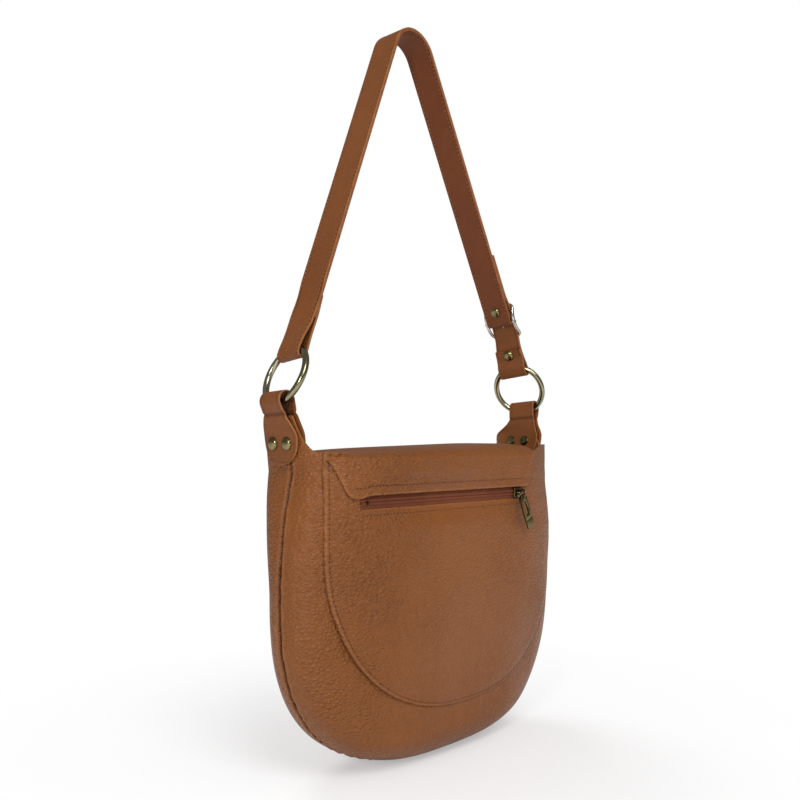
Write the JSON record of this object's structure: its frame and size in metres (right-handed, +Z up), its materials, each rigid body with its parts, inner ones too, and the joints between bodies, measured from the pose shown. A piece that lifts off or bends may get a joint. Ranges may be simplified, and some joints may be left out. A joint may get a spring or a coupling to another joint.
{
  "type": "shoulder bag",
  "caption": "Half-moon leather shoulder bag with a top flap, a zipped back pocket and a buckled strap on two rings.",
  "frame": {"origin": "under the middle of the base, on the plane of the side seams", "axes": "+Z up, +X along the width, +Y towards the flap's front, so that the zipped back faces -Y"},
  "size_m": [0.307, 0.099, 0.5628],
  "materials": {
    "body_leather": "pebbled, satin",
    "strap_leather": "smooth, satin",
    "lining_cloth": "plain weave, matte",
    "zip_tape": "herringbone tape, matte",
    "hardware": "antiqued, brushed",
    "buckle_metal": "pale, brushed"
  },
  "bodies": {
    "strap": {"strap_outer_layer": "strap_leather", "strap_inner_layer": "strap_leather", "lower_strap": "strap_leather", "strap_rivets": "hardware", "strap_rivet_backs": "hardware", "buckle_frame": "buckle_metal"},
    "prong": {"buckle_prong": "buckle_metal"},
    "bag": {"back_shell": "body_leather", "front_shell": "body_leather", "lining": "lining_cloth", "back_pocket_panel": "body_leather", "pocket_lining": "lining_cloth", "flap_yoke": "body_leather", "snap_socket": "hardware", "zip_tapes": "zip_tape", "zip_teeth": "hardware", "zip_stops": "hardware", "left_tab": "body_leather", "right_tab": "body_leather", "tab_rivets": "hardware", "tab_rivet_backs": "hardware"},
    "left_ring_body": {"left_ring": "hardware"},
    "right_ring_body": {"right_ring": "hardware"},
    "flap_body": {"flap": "body_leather", "flap_lining": "lining_cloth", "snap_stud": "hardware"},
    "slider": {"zip_slider": "hardware"},
    "link": {"pull_link": "hardware"},
    "pull": {"pull_tab": "hardware"}
  },
  "joints": [
    {"name": "strap_swing", "type": "hinge", "parent": "strap", "child": "bag", "pos_m": [0, 0.007, 0.279], "axis": [1, 0, 0], "range_deg": [-110, 110], "deforming": ["strap_outer_layer", "lower_strap"]},
    {"name": "left_ring_turn", "type": "hinge", "parent": "bag", "child": "left_ring_body", "pos_m": [-0.139, 0.007, 0.279], "axis": [-0.4035, 0, -0.915], "range_deg": [-28, 28], "deforming": ["left_tab"]},
    {"name": "right_ring_turn", "type": "hinge", "parent": "bag", "child": "right_ring_body", "pos_m": [0.139, 0.007, 0.279], "axis": [0.4035, 0, -0.915], "range_deg": [-28, 28], "deforming": ["right_tab"]},
    {"name": "flap_open", "type": "hinge", "parent": "bag", "child": "flap_body", "pos_m": [0, -0.0507, 0.222], "axis": [1, 0, 0], "range_deg": [0, 120]},
    {"name": "zip_slide", "type": "slide", "parent": "bag", "child": "slider", "axis": [0.9994, -0.0355, 0], "range_m": [-0.155, 0]},
    {"name": "link_lift", "type": "hinge", "parent": "slider", "child": "link", "pos_m": [0.05675, -0.05188, 0.1934], "axis": [-0.9994, 0.0355, 0], "range_deg": [0, 140]},
    {"name": "pull_swing", "type": "hinge", "parent": "link", "child": "pull", "pos_m": [0.05673, -0.05248, 0.18965], "axis": [-0.0355, -0.9994, 0], "range_deg": [-60, 40]},
    {"name": "prong_lift", "type": "hinge", "parent": "strap", "child": "prong", "pos_m": [0.11549, 0.0102, 0.3363], "axis": [0, -0.9984, 0.0558], "range_deg": [0, 70]}
  ],
  "couplings": [
    {"joint": "left_ring_turn", "follows": "strap_swing", "ratio": 0.24},
    {"joint": "right_ring_turn", "follows": "strap_swing", "ratio": -0.24}
  ]
}
